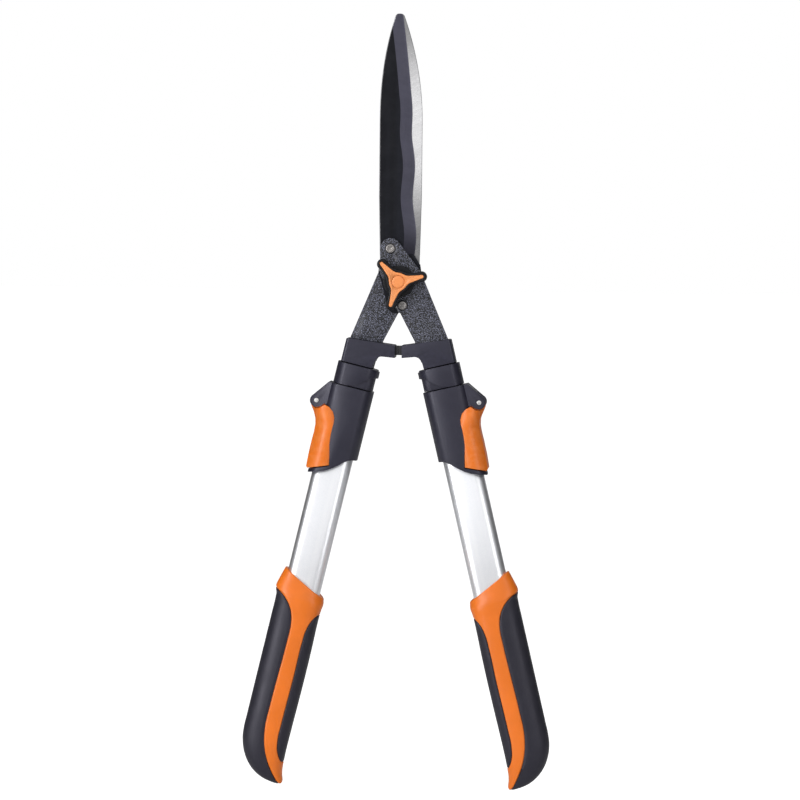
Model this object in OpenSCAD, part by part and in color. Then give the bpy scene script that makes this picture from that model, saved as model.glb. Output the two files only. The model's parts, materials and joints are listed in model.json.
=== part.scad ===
// Telescopic hedge shears with two blades, cam-lock handles and soft grips.
//
// The shears hang with their blades up (+Z) on a wall peg, which lies in the gap between the arms. The
// peg's axis, along Y, is the origin. The front of the shears faces -Y, and both handles splay outwards
// below the pivot. The right arm carries the front blade and the pivot bolt, and the left arm turns on it.
// Every piece is drawn around the pivot, and hung_on_peg() moves it to its place.
// Each handle is drawn in a frame of its own: X points outwards, away from the other handle, and Z
// points up along the handle. Outlines in that frame list [outward, distance down the handle].

/* [Blades] */
// Height of the blade tips above the pivot
blade_reach = 236; // [220:1:250]
// Thickness of each blade
blade_t = 2.5; // [2:0.1:3]
// Distance from the blade pair's middle to each blade's back edge
blade_half_w = 18.8; // [17:0.1:21]
// Width of the ground bevel along each cutting edge
bevel_w = 10.5; // [8:0.5:12]
// Height of the waves in the cutting edge, from the middle line
wave_height = 1.25; // [0:0.05:2]
// Length of one wave
wave_pitch = 61; // [50:1:80]

/* [Arms] */
// Thickness of the steel arm plates
plate_t = 3; // [2.5:0.1:3.2]
// Angle of each handle from the middle line
splay = 13.35; // [12.5:0.05:14]
// Diameter of the pivot bolt
bolt_d = 8; // [7:0.5:9]

/* [Telescopic tubes] */
// Width of the outer oval tube
tube_w = 33.2; // [32.5:0.1:34]
// Thickness of the outer oval tube
tube_t = 17.5; // [17.2:0.1:17.8]
// Wall of the outer tube
tube_wall = 1.25; // [1.1:0.05:1.3]
// Wall of the inner tube
inner_wall = 1.3; // [1.1:0.05:1.3]

/* [Grips and knob] */
// Thickness of each grip
grip_t = 28.6; // [27:0.2:31]
// Reach of the knob's lobes from the pivot
knob_reach = 25.6; // [25:0.1:27]

/* [Storage] */
// Height of the pivot above the wall peg's axis
peg_drop = 43; // [42:0.5:46]

/* [Hidden] */
$fn = 48;
slack = 0.1;          // gap that keeps moving faces apart
thin = 0.01;

// Depth of the stack at the pivot, from the middle plane out
blade_in = slack;
blade_out = blade_in + blade_t;
plate_out = blade_out + plate_t;

// Blade outline
tip_start = 140;      // height at which the blade starts to taper to its tip
tip_len = blade_reach - tip_start;
// How each blade narrows to its tip: at the spine by this much and with this power, and at the edge.
front_tip = [13.8, 2.3, 7.2];
rear_tip = [17.4, 2.0, 4.6];
root_top = 24;        // height at which the bevel ends
edge_t = 0.4;         // thickness left at the cutting edge
station_step = 4;

// Arms
arm_axis_x = 19.3;    // where each handle's axis passes the height of the pivot
arm_back = [-16.9, 6.3];
head_screw = [-8.0, 29];
root_screw = [3.1, -21.2];
screw_d = 5;
screw_head_r = 4.8;
screw_head_h = 1.9;
head_round_r = 9.2;

// Distances down the handle
socket_top = 51;
socket_end = 76;
tang_half_w = 7.6;
tang_end = 98;
rivet_at = 88;
neck_top = 77;
neck_end = 96.2;
housing_top = 97;
sleeve_end = 129;
inner_top = 64;
inner_end = 412;
outer_top = 129.6;
outer_end = 424;
pin_at = [27.1, 115.6];
pin_r = 2;
ear_r = 5.9;
lever_gap = 0.5;
cam_r = 6.2;
cam_throw = 2.3;      // how far the cam's middle is off its pin
shoe_u = 18.4;

// Tubes
bore_w = tube_w - 2 * tube_wall;
bore_t = tube_t - 2 * tube_wall;
inner_w = bore_w - 0.6;
inner_t = bore_t - 0.6;

// Half thicknesses of the mouldings
socket_y = 9.2;
liner_y = 9.8;
collar_y = 11.2;
housing_y = 12;
ear_y = 9.8;
ear_gap_y = 7.1;
sleeve_y = 9.0;
sleeve_u = 18.4;
lever_y = 11.9;
flank_y = 9.25;
hub_y = 6.9;
collar_rim_y = 11.4;

// Knob, measured forwards from the front plate
knob_angle = 12.8;
knob_washer_t = 1.2;
flange_t = 2.5;
knob_h = 7.6;
lobe_r = 4.7;
flange_r = 14;
insert_h = 1.2;
nut_af = 13;
nut_h = 6.5;

steel = "silver";
hammered = "dimgray";
black = [0.16, 0.16, 0.18];
orange = [0.95, 0.42, 0.1];
rubber = [0.2, 0.2, 0.22];

// --- helpers ---------------------------------------------------------------------------------------

// Turns [outward, distance down] points into the handle's own drawing plane.
function down(points) = [for (p = points) [p[0], -p[1]]];

// Points on an elliptical arc, with its angles counter-clockwise from +X.
function arc(c, a, b, from, to, steps) =
  [for (i = [0:steps]) let (t = from + (to - from) * i / steps) [c[0] + a * cos(t), c[1] + b * sin(t)]];

// A front outline as a plate between two depths.
module slab(y0, y1) {
  translate([0, y1, 0]) rotate([90, 0, 0]) linear_extrude(y1 - y0) children();
}

// A cross-section swept along the handle between two distances down it.
module along(top, bottom) {
  translate([0, 0, -bottom]) linear_extrude(bottom - top) children();
}

module oval(w, t) {
  square([w - t, t], center = true);
  for (s = [-1, 1]) translate([s * (w - t) / 2, 0]) circle(d = t);
}

module rounded_box(u0, u1, half_t, r) {
  translate([u0 + r, -half_t]) square([u1 - u0 - 2 * r, 2 * half_t]);
  translate([u0, -half_t + r]) square([u1 - u0, 2 * (half_t - r)]);
  for (u = [u0 + r, u1 - r], y = [-half_t + r, half_t - r]) translate([u, y]) circle(r);
}

// A round bar or bore along Y.
module cross_pin(at, r, y0, y1) {
  translate([at[0], y1, at[1]]) rotate([90, 0, 0]) cylinder(r = r, h = y1 - y0);
}

// Places a piece drawn in the handle frame: side 1 is the right handle and -1 the left one.
module handle(side) {
  mirror([side < 0 ? 1 : 0, 0, 0]) translate([arm_axis_x, 0, 0]) rotate([0, -splay, 0]) children();
}

module hung_on_peg() {
  translate([0, 0, peg_drop]) children();
}

// Draws a piece of the front arm, or the same piece turned half round for the rear arm.
module arm(side) {
  rotate([0, 0, side < 0 ? 180 : 0]) children();
}

// --- blades ----------------------------------------------------------------------------------------

function taper(z, power) = pow(max(0, z - tip_start) / tip_len, power);
function spine_x(z, tip) = -blade_half_w + tip[0] * taper(z, tip[1]) + 1.1 * max(0, 75 - z) / 50;
function wave_fade(z) = max(0, min(1, (165 - z) / 40));
function edge_x(z, tip) =
  13 - 0.026 * (z - 42) - tip[2] * taper(z, 1.5) + wave_height * wave_fade(z) * cos(360 * (z - 42) / wave_pitch);
function bevel_x(z, tip) = max(spine_x(z, tip) + 0.2, edge_x(z, tip) - bevel_w);
function thickness_at(x, z, tip) = edge_t + (blade_t - edge_t) * min(1, (edge_x(z, tip) - x) / bevel_w);

// One slice of the blade: the back edge, the start of the bevel, and the cutting edge.
function slice(z, tip) = [
  [spine_x(z, tip), -blade_in, z],
  [spine_x(z, tip), -blade_in - thickness_at(spine_x(z, tip), z, tip), z],
  [bevel_x(z, tip), -blade_in - thickness_at(bevel_x(z, tip), z, tip), z],
  [edge_x(z, tip), -blade_in - edge_t, z],
  [edge_x(z, tip), -blade_in, z]
];

module blade_loft(tip) {
  stations = [for (z = [root_top - 2 : station_step : blade_reach - 1]) z, blade_reach];
  n = 5;
  count = len(stations);
  points = [for (z = stations) each slice(z, tip)];
  faces = concat(
    [[for (i = [0:n - 1]) i]],
    [for (s = [0:count - 2], i = [0:n - 1])
      let (a = s * n + i, b = s * n + (i + 1) % n) each [[a, a + n, b + n], [a, b + n, b]]],
    [[for (i = [n - 1:-1:0]) (count - 1) * n + i]]);
  polyhedron(points, faces, convexity = 4);
}

// The flat root of the blade, which the arm plate covers.
module blade_root() {
  polygon(concat(
    [[12.4, root_top], [18.3, 14.8], [19.2, 9]],
    arc(root_screw, 7.5, 7.5, -10, -118, 9),
    [[-16.2, 6.8], [spine_x(root_top, front_tip), root_top]]));
}

module blade_shape(tip) {
  difference() {
    union() {
      blade_loft(tip);
      slab(-blade_out, -blade_in) blade_root();
    }
    cross_pin([0, 0], bolt_d / 2 + 0.05, -blade_out - 1, 1);
    for (at = [head_screw, root_screw]) cross_pin(at, screw_d / 2, -blade_out - 1, 1);
  }
}

module blade(side) { color(steel) arm(side) blade_shape(side > 0 ? front_tip : rear_tip); }

// --- arm plates and their screws -------------------------------------------------------------------

// Points of the handle frame in the drawing's own plane, for the right side.
function to_plane(p) = [
  arm_axis_x + p[0] * cos(splay) + p[1] * sin(splay), p[0] * sin(splay) - p[1] * cos(splay)];

module plate_outline() {
  polygon(concat(
    arc(head_screw, head_round_r, head_round_r, 40, 180, 16),
    [[-17.2, 20], arm_back],
    [for (p = [[-17.1, 50.7], [-16.6, 54], [-tang_half_w, 63.5], [-tang_half_w, tang_end],
      [tang_half_w, tang_end], [tang_half_w, 63.5], [12.2, 58.5], [12.2, 54]]) to_plane(p)],
    [[22.6, 0], [18.3, 10.1]]));
}

module arm_plate(side) {
  color(hammered) arm(side) difference() {
    slab(-plate_out, -blade_out) plate_outline();
    cross_pin([0, 0], bolt_d / 2 + 0.05, -plate_out - 1, 0);
    for (at = [head_screw, root_screw]) cross_pin(at, screw_d / 2, -plate_out - 1, 0);
    cross_pin(to_plane([0, rivet_at]), 2.5, -plate_out - 1, 0);
  }
}

// Two pan-head screws with a cross recess.
module blade_screws(side) {
  color(steel) arm(side) for (at = [head_screw, root_screw]) difference() {
    union() {
      cross_pin(at, screw_d / 2, -plate_out, -blade_in - 0.3);
      translate([at[0], -plate_out, at[1]]) rotate([90, 0, 0])
        cylinder(r1 = screw_head_r, r2 = screw_head_r - 1.3, h = screw_head_h);
    }
    for (turn = [45, 135]) translate([at[0], -plate_out - screw_head_h, at[1]]) rotate([0, turn, 0])
      cube([5, 2.2, 1], center = true);
  }
}

// --- pivot -----------------------------------------------------------------------------------------

module pivot_bolt() {
  head_in = plate_out + slack + 1.2;
  color(steel) {
    cross_pin([0, 0], bolt_d / 2, -plate_out - knob_washer_t - flange_t - knob_h + 1.5, head_in + 1);
    translate([0, head_in, 0]) rotate([-90, 0, 0]) cylinder(r = 7.5, h = 5, $fn = 6);
  }
}

module washer(r, hole_r, y0, y1) {
  difference() {
    cross_pin([0, 0], r, y0, y1);
    cross_pin([0, 0], hole_r, y0 - 1, y1 + 1);
  }
}

module pivot_bolt_washer() {
  color(steel) washer(9, bolt_d / 2, plate_out + slack, plate_out + slack + 1.2);
}

module knob_washer() {
  color(steel) washer(10, bolt_d / 2, -plate_out - knob_washer_t, -plate_out);
}

knob_back = -plate_out - knob_washer_t - slack;
lobe_back = knob_back - flange_t;
knob_front = lobe_back - knob_h;

module each_lobe() {
  for (i = [0:2]) rotate(knob_angle + 120 * i) children();
}

// A three-armed star: a round middle with arms that flare into it.
module star(hub_r, arm_half, reach, end_r, flare) {
  circle(hub_r);
  each_lobe() {
    polygon([[0, -hub_r * 0.95], [hub_r * 0.9, -arm_half - flare], [hub_r * 1.5, -arm_half],
      [reach - end_r, -arm_half], [reach - end_r, arm_half], [hub_r * 1.5, arm_half],
      [hub_r * 0.9, arm_half + flare], [0, hub_r * 0.95]]);
    translate([reach - end_r, 0]) circle(end_r);
  }
}

module knob_body() {
  color(black) difference() {
    union() {
      cross_pin([0, 0], flange_r, lobe_back, knob_back);
      slab(knob_front, lobe_back + thin) star(10.5, 4.3, knob_reach, lobe_r, 3);
    }
    slab(knob_front - 1, knob_front + insert_h) star(7.6, 2.2, 22.4, 2.2, 2.6);
    cross_pin([0, 0], bolt_d / 2 + 0.1, knob_front - 1, knob_back + 1);
    translate([0, lobe_back + 1, 0]) rotate([90, 0, 0]) cylinder(d = nut_af / cos(30), h = nut_h, $fn = 6);
    cross_pin([0, 0], 5.7, knob_front - 1, lobe_back - nut_h + 1);
  }
}

module knob_nut() {
  color("gold") difference() {
    translate([0, lobe_back + 1, 0]) rotate([90, 0, 0]) cylinder(d = nut_af / cos(30), h = nut_h, $fn = 6);
    cross_pin([0, 0], bolt_d / 2 + 0.05, knob_front - 1, knob_back + 1);
  }
}

module knob_insert() {
  color(orange) difference() {
    slab(knob_front - 0.4, knob_front + insert_h) star(7.6, 2.2, 22.4, 2.2, 2.6);
    cross_pin([0, 0], 5.7, knob_front - 2, knob_front + 3);
  }
}

module knob_centre_cap() {
  color(orange) cross_pin([0, 0], 5.6, knob_front - 0.8, knob_front + 1);
}

// --- socket between arm and handle -----------------------------------------------------------------

module socket_outline() {
  polygon(down([[14.7, 56], [13.9, 55.3], [-40, 50.3], [-40, 61], [-21.4, 63.6], [-15, 63.6], [-14.3, socket_end],
    [14.7, socket_end]]));
  difference() {
    translate([-21.5, -70]) square([6.6, 6.6]);
    translate([-21.5, -70]) circle(6.4);
  }
}

module socket(side) {
  color(black) difference() {
    handle(side) difference() {
      intersection() {
        slab(-socket_y, socket_y) socket_outline();
        along(40, 80) rounded_box(-50, 14.7, socket_y, 3);
      }
      along(inner_top, socket_end + 1) oval(inner_w + 0.1, inner_t + 0.1);
      along(40, inner_top + 1) translate([-17.3, side < 0 ? blade_out - 0.05 : -plate_out - 0.05])
        square([30.5, plate_t + 0.1]);
    }
    translate([side < 0 ? -3.1 : -50, -20, -80]) cube([53.1, 40, 60]);
    translate([side < 0 ? -4.1 : -50, -6, -63.3]) cube([54.1, 12, 3.8 + 1.7]);
  }
}

// A rubber pad set into the end of each stop arm. The two pads meet when the blades close.
module bumper(side) {
  color(rubber) mirror([side < 0 ? 1 : 0, 0, 0]) union() {
    translate([slack, -7.2, -65.3]) cube([3, 14.4, 7.9]);
    translate([slack + 1, -6, -63.3]) cube([3, 12, 5.5]);
  }
}

module inner_tube(side) {
  color("lightgray") handle(side) difference() {
    along(inner_top, inner_end) oval(inner_w, inner_t);
    along(inner_top - 1, inner_end + 1) oval(inner_w - 2 * inner_wall, inner_t - 2 * inner_wall);
    cross_pin([0, -rivet_at], 2.5, -20, 20);
  }
}

module tang_rivet(side) {
  head = inner_t / 2;
  color(steel) handle(side) {
    cross_pin([0, -rivet_at], 2.5, -head - 0.5, head + 0.5);
    for (s = [-1, 1]) cross_pin([0, -rivet_at], 4, s < 0 ? -head - 0.9 : head, s < 0 ? -head : head + 0.9);
  }
}

// --- neck ------------------------------------------------------------------------------------------

collar_edge = [[-22, 84], [-15.8, 85.2], [-12, 87.8], [-8.5, 90.6], [-5, 92.8], [-1.4, 94.6], [4, neck_end]];

module neck_liner(side) {
  color(black) handle(side) difference() {
    along(neck_top + 1.4, neck_end) rounded_box(-18.9, 16.6, liner_y, 8);
    along(neck_top, neck_end + 1) oval(inner_w + 0.1, inner_t + 0.1);
    cross_pin([0, -rivet_at], 4.1, -head_clear(), head_clear());
  }
}

function head_clear() = inner_t / 2 + 1;

module neck_collar(side) {
  color(black) handle(side) difference() {
    union() {
      along(neck_top, neck_end) rounded_box(-19.6, 17.2, collar_y, 8.6);
      along(78.4, 84.2) rounded_box(-20.9, 17.2, collar_y - 0.6, 8.6);
    }
    along(neck_top + 1.4, neck_end + 1) rounded_box(-18.9, 16.6, liner_y, 8);
    along(neck_top - 1, neck_end + 1) oval(inner_w + 0.1, inner_t + 0.1);
    slab(-20, 20) polygon(down(concat(collar_edge, [[4, 110], [-22, 110]])));
  }
}

// The plug in the lower end of the inner tube, which slides in the outer tube.
module guide_plug(side) {
  color(black) handle(side) {
    along(inner_end - 14, inner_end) oval(inner_w - 2 * inner_wall, inner_t - 2 * inner_wall);
    along(inner_end, inner_end + 6) oval(inner_w + 0.2, inner_t + 0.2);
  }
}

// --- cam lock --------------------------------------------------------------------------------------

// The inner edge of the lever, which the housing's cut-out follows.
lever_inner = [[14.6, 118.6], [10.3, 121.8], [7.8, 126.6], [7.2, 131], [7.4, 136], [7.3, 142.5], [6.4, 151],
  [4.3, 159.4], [2.0, 169.6]];

module lever_zone(gap) {
  offset(delta = gap) polygon(down(concat(
    [[45, 121.5], [45, 177], [20.4, 177]],
    [for (i = [len(lever_inner) - 1:-1:0]) lever_inner[i]],
    [[19.6, 116.8], [22.8, 120.6], [26, 122]])));
}

// The housing seen from the front: the body, with the S-shaped lower edge, less the room for the lever.
module housing_outline() {
  difference() {
    polygon(down([[-20.2, housing_top], [20.5, housing_top], [20.5, 117.4], [20, 118], [20, 180], [6.2, 175.2],
      [0.5, 172], [-5, 167.8], [-9.7, 163.6], [-13.2, 161], [-16.5, 160], [-20.2, 159.8]]));
    lever_zone(0.2);
  }
}

module ear_outline() {
  difference() {
    union() {
      polygon(down([[10, housing_top], [20.5, housing_top], [31.5, 111.7], [27, 121.4], [22.8, 120.2],
        [20, 117], [10, 117]]));
      translate([pin_at[0], -pin_at[1]]) circle(ear_r);
    }
    difference() {
      lever_zone(0.2);
      translate([pin_at[0], -pin_at[1]]) circle(ear_r);
    }
  }
}

module lock_housing(side) {
  color(black) handle(side) difference() {
    union() {
      intersection() {
        slab(-housing_y, housing_y) housing_outline();
        along(90, 190) rounded_box(-20.2, 20.5, housing_y, 9);
      }
      slab(-ear_y, ear_y) ear_outline();
      along(housing_top + 1, sleeve_end) rounded_box(-20.2, sleeve_u, sleeve_y, 8.5);
    }
    along(housing_top - 1, sleeve_end + thin) oval(inner_w + 0.6, inner_t + 0.6);
    along(sleeve_end, 200) oval(tube_w + 0.1, tube_t + 0.1);
    // the slot between the ears, for the lever's hub and the clamp shoe
    along(106, sleeve_end + thin) translate([14.2, -ear_gap_y]) square([40, 2 * ear_gap_y]);
    cross_pin([pin_at[0], -pin_at[1]], pin_r, -20, 20);
  }
}

module lever_pin(side) {
  color(steel) handle(side) cross_pin([pin_at[0], -pin_at[1]], pin_r, -ear_y - 0.3, ear_y + 0.3);
}

// The shoe that the cam presses on the inner tube.
module clamp_shoe(side) {
  color(rubber) handle(side) difference() {
    along(106, 117) translate([14.4, -ear_gap_y]) square([shoe_u - 14.4, 2 * ear_gap_y]);
    along(100, 130) oval(inner_w + 0.6, inner_t + 0.6);
  }
}

lever_outer = [[30.6, 121.4], [26.9, 126], [24.2, 131], [22.9, 136], [22.5, 142.5], [22.7, 151], [22.6, 163],
  [22, 174.6], [20.6, 176]];
lever_bottom = [2.4, 169];

module lever_outline() {
  difference() {
    polygon(down(concat(
      lever_outer,
      [lever_bottom],
      [for (i = [len(lever_inner) - 2:-1:0]) lever_inner[i]],
      [[18.9, 117.6], [22.4, 121.3], [26, 122.7]])));
    translate([pin_at[0], -pin_at[1]]) circle(ear_r + lever_gap);
  }
}

module lock_lever(side) {
  color(orange) handle(side) difference() {
    union() {
      difference() {
        intersection() {
          slab(-lever_y, lever_y) lever_outline();
          along(110, 180) rounded_box(-40, 31, lever_y, 9.5);
        }
        along(100, 190) rounded_box(-40, tube_w / 2 + 0.6, flank_y, 8.4);
        along(100, sleeve_end + 0.5) rounded_box(-40, sleeve_u + 0.5, flank_y, 8.4);
      }
      slab(-hub_y, hub_y)
        polygon(down([[32.2, 117], [31, 121], [24.6, 130], [21, 134], [20.8, 121], [22.2, 117]]));
      cross_pin([pin_at[0] - cam_throw, -pin_at[1]], cam_r, -hub_y, hub_y);
    }
    cross_pin([pin_at[0], -pin_at[1]], pin_r + 0.06, -20, 20);
  }
}

// --- outer tube and grip ---------------------------------------------------------------------------

module outer_tube(side) {
  color("gainsboro") handle(side) difference() {
    along(outer_top, outer_end) oval(tube_w, tube_t);
    along(outer_top - 1, outer_end + 1) oval(bore_w, bore_t);
  }
}

grip_toe = [[-21.3, 461], [-23.6, 460.2], [-24.1, 457], [-21.4, 449.5], [-20.8, 441], [-21.4, 350],
  [-20.7, 304], [-21.8, 293], [-20.9, 289]];

module grip_outline() {
  polygon(concat(
    down([[19.4, 268.8], [24, 286.4], [21.7, 291.2]]),
    arc([-16, -418], 37.7, 43, 0, -90, 24),
    down(grip_toe)));
}

// The grip seen from the side: it widens from its rim and thins towards its end.
module grip_side_view() {
  polygon(concat(
    [[-collar_rim_y, -262], [-collar_rim_y, -268], [-grip_t / 2 - 0.5, -290], [-grip_t / 2, -296]],
    arc([0, -425], grip_t / 2, 38, 180, 360, 24),
    [[grip_t / 2, -296], [grip_t / 2 + 0.5, -290], [collar_rim_y, -268], [collar_rim_y, -262]]));
}

module grip_volume() {
  intersection() {
    slab(-20, 20) grip_outline();
    along(260, 470) rounded_box(-24.2, 24.2, grip_t / 2 + 0.5, 12);
    translate([40, 0, 0]) rotate([90, 0, -90]) linear_extrude(80) grip_side_view();
  }
}

// The orange stripe's edges on the grip: towards the outer pad going down, and the inner pad going up.
stripe_outer = [[25, 287.6], [15.9, 291], [8.6, 297.5], [3.3, 306.1], [1, 316], [0.9, 330], [1.5, 360],
  [2.1, 390], [2, 412], [-0.7, 425.3], [-5.9, 438.5], [-13.4, 450.3], [-22.2, 462]];
stripe_inner = [[-26, 462], [-26, 444], [-20.1, 440.3], [-14.5, 431.7], [-11.9, 422], [-12.2, 405],
  [-12.9, 360], [-12.7, 330], [-13.2, 317.4], [-15.7, 310.5], [-20.5, 302.9], [-26, 299]];

module stripe() {
  polygon(down(concat([[25, 260]], stripe_outer, stripe_inner, [[-26, 260]])));
}

module grip_sleeve() {
  along(270, outer_end + 6) oval(tube_w + 3.2, tube_t + 3.6);
}

module tube_hole() {
  along(260, outer_end) oval(tube_w + 0.02, tube_t + 0.02);
}

module grip_core(side) {
  color(orange) handle(side) difference() {
    intersection() {
      grip_volume();
      union() {
        slab(-20, 20) stripe();
        grip_sleeve();
      }
    }
    tube_hole();
  }
}

// The soft pad on the side of the grip that faces outwards (from 1) or inwards (from -1).
module grip_pad(side, from) {
  color(rubber) handle(side) difference() {
    intersection() {
      grip_volume();
      slab(-20, 20) polygon(down(from > 0
        ? concat(stripe_outer, [[30, 462], [30, 287.6]])
        : concat(stripe_inner, [[-30, 299], [-30, 462]])));
    }
    grip_sleeve();
  }
}

// --- the shears ------------------------------------------------------------------------------------

hung_on_peg() blade(1);  // front_blade
hung_on_peg() blade(-1);  // rear_blade
hung_on_peg() arm_plate(1);  // right_arm_plate
hung_on_peg() arm_plate(-1);  // left_arm_plate
hung_on_peg() blade_screws(1);  // front_blade_screws
hung_on_peg() blade_screws(-1);  // rear_blade_screws
hung_on_peg() pivot_bolt();
hung_on_peg() pivot_bolt_washer();
hung_on_peg() knob_washer();
hung_on_peg() knob_nut();
hung_on_peg() knob_body();
hung_on_peg() knob_insert();
hung_on_peg() knob_centre_cap();
for (side = [1, -1]) {
  name = side > 0 ? "right_" : "left_";
  hung_on_peg() socket(side);
  hung_on_peg() bumper(side);
  hung_on_peg() inner_tube(side);
  hung_on_peg() tang_rivet(side);
  hung_on_peg() neck_liner(side);
  hung_on_peg() neck_collar(side);
  hung_on_peg() guide_plug(side);
  hung_on_peg() lock_housing(side);
  hung_on_peg() lock_lever(side);
  hung_on_peg() lever_pin(side);
  hung_on_peg() clamp_shoe(side);
  hung_on_peg() outer_tube(side);
  hung_on_peg() grip_core(side);
  hung_on_peg() grip_pad(side, 1);
  hung_on_peg() grip_pad(side, -1);
}
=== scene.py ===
"""Finished looks for a pair of telescopic hedge shears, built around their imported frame.

The blades, the clamping knob, the oval tubes and the soft grips are made here as new meshes. The other
parts keep the frame's own meshes, with their edges rounded, and get a material of their own.
Lengths are in metres, and the outline tables in millimetres go through mm().
A handle's own space has X pointing outwards from the tube's axis and Z pointing up the handle, and its
outline tables list [outward, distance down the handle].
"""

import json
import math

import bmesh
import bpy
import numpy as np
from bpy.props import FloatProperty, FloatVectorProperty, IntProperty, PointerProperty
from mathutils import Matrix, Quaternion, Vector

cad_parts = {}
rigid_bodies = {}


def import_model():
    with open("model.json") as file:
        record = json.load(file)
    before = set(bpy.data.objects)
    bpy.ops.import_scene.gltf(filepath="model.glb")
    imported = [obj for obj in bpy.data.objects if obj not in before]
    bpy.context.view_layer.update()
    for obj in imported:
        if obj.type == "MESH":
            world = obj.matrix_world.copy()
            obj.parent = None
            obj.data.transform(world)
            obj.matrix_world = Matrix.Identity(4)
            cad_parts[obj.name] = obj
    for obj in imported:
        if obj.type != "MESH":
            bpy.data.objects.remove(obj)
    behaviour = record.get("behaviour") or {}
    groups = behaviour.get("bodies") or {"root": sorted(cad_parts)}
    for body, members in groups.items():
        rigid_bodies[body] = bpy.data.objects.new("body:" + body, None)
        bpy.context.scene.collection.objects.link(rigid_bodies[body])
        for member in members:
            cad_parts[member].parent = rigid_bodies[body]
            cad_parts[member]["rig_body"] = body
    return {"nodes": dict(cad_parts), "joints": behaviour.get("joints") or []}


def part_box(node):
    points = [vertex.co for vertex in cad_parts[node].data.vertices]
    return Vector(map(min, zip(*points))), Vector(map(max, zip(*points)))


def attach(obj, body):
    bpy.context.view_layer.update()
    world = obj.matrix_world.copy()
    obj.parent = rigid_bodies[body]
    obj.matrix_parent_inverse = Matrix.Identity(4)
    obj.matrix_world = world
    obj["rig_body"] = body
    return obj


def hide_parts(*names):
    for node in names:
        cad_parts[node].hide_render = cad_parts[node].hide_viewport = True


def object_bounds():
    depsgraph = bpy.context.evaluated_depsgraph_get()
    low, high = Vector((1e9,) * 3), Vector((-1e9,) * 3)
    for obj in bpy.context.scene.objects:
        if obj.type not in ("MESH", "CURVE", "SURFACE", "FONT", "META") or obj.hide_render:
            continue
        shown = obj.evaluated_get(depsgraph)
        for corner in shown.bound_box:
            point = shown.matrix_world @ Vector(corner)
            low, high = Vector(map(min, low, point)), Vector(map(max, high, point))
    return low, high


bl_info = {
    "name": "Hedge shears",
    "version": (1, 0, 0),
    "blender": (4, 5, 0),
    "location": "3D View > Sidebar > Shears",
    "description": "Builds telescopic hedge shears and a studio stage",
    "category": "Object",
}

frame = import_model()
CAD_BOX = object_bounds()

MM = 0.001
SIDES = ("right", "left")
WHITE = (1.0, 1.0, 1.0, 1.0)
JOINTS = {joint["name"]: joint for joint in frame["joints"]}
PIVOT = Vector(JOINTS["blade_pivot"]["pos_m"])


def handle_space(side):
    """The matrix of a handle's own space, whose origin is on the tube's axis at the pivot's height."""
    lowest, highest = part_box(f"{side}_outer_tube")
    centre = (lowest + highest) / 2
    up = -Vector(JOINTS[f"{side}_extend"]["axis"]).normalized()
    outward = Vector((1 if side == "right" else -1, 0, 0))
    outward = (outward - up * outward.dot(up)).normalized()
    origin = centre + up * ((PIVOT.z - centre.z) / up.z)
    turned = Matrix((outward, up.cross(outward), up)).transposed().to_4x4()
    return Matrix.Translation(origin) @ turned


HANDLES = {side: handle_space(side) for side in SIDES}


def mm(points):
    """A table of lengths in millimetres, in metres."""
    return np.array(points, float) * MM


def down_range(side, node):
    """How far down the handle a part of the frame begins and ends."""
    inverse = HANDLES[side].inverted()
    heights = [(inverse @ v.co).z for v in frame["nodes"][node].data.vertices]
    return -max(heights), -min(heights)


# --- sizes and colours -------------------------------------------------------------------------------


def length(name, description, default, low, high):
    """A length that a user may change, in millimetres here and in metres in the panel."""
    return FloatProperty(name=name, description=description, default=default * MM, min=low * MM,
                         max=high * MM, unit="LENGTH")


def turn_of(name, description, degrees):
    """An angle that a user may change."""
    return FloatProperty(name=name, description=description, default=math.radians(degrees),
                         subtype="ANGLE", unit="ROTATION")


def color_of(name, description, default):
    """A colour that a user may change."""
    return FloatVectorProperty(name=name, description=description, default=default, size=3, min=0, max=1,
                               subtype="COLOR")


class ShearsBlades(bpy.types.PropertyGroup):
    """The two blades, measured up from the pivot and out from the plane between them."""

    reach: FloatProperty(name="Reach", description="Height of the tips above the pivot",
                         default=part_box("front_blade")[1].z - PIVOT.z, min=0.2, max=0.25, unit="LENGTH")
    thickness: length("Thickness", "Thickness of each blade", 2.5, 2, 3)
    bevel: length("Bevel", "Width of the ground bevel", 10.5, 8, 12)
    wave_height: length("Wave height", "Height of the waves in the cutting edge", 1.25, 0, 2)
    wave_pitch: length("Wave pitch", "Length of one wave", 61, 50, 80)


class ShearsKnob(bpy.types.PropertyGroup):
    """The three-armed clamping knob."""

    reach: length("Reach", "Reach of the arms from the pivot", 25.6, 25, 27)
    turn: turn_of("Turn", "Angle of the first arm above level", 12.8)
    rounding: length("Rounding", "Radius of the moulded edges", 1.5, 0.3, 2)


class ShearsTubes(bpy.types.PropertyGroup):
    """The oval tubes of both handles."""

    width: length("Width", "Width of the outer tube", 33.2, 32, 34)
    depth: length("Depth", "Thickness of the outer tube from front to back", 17.5, 17, 18)
    wall: length("Wall", "Wall of each tube", 1.25, 1, 1.3)
    gap: length("Gap", "Gap around the inner tube", 0.3, 0.1, 0.4)


class ShearsGrips(bpy.types.PropertyGroup):
    """The two-part soft grips."""

    fullness: FloatProperty(name="Fullness", description="How boxy the grip's section is; 2 is an ellipse",
                            default=2.5, min=2, max=4)
    groove: length("Groove", "Depth of the groove between the stripe and the pads", 0.95, 0, 1)
    pad: length("Pad", "Thickness of the soft pads", 1.5, 1, 2)


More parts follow.
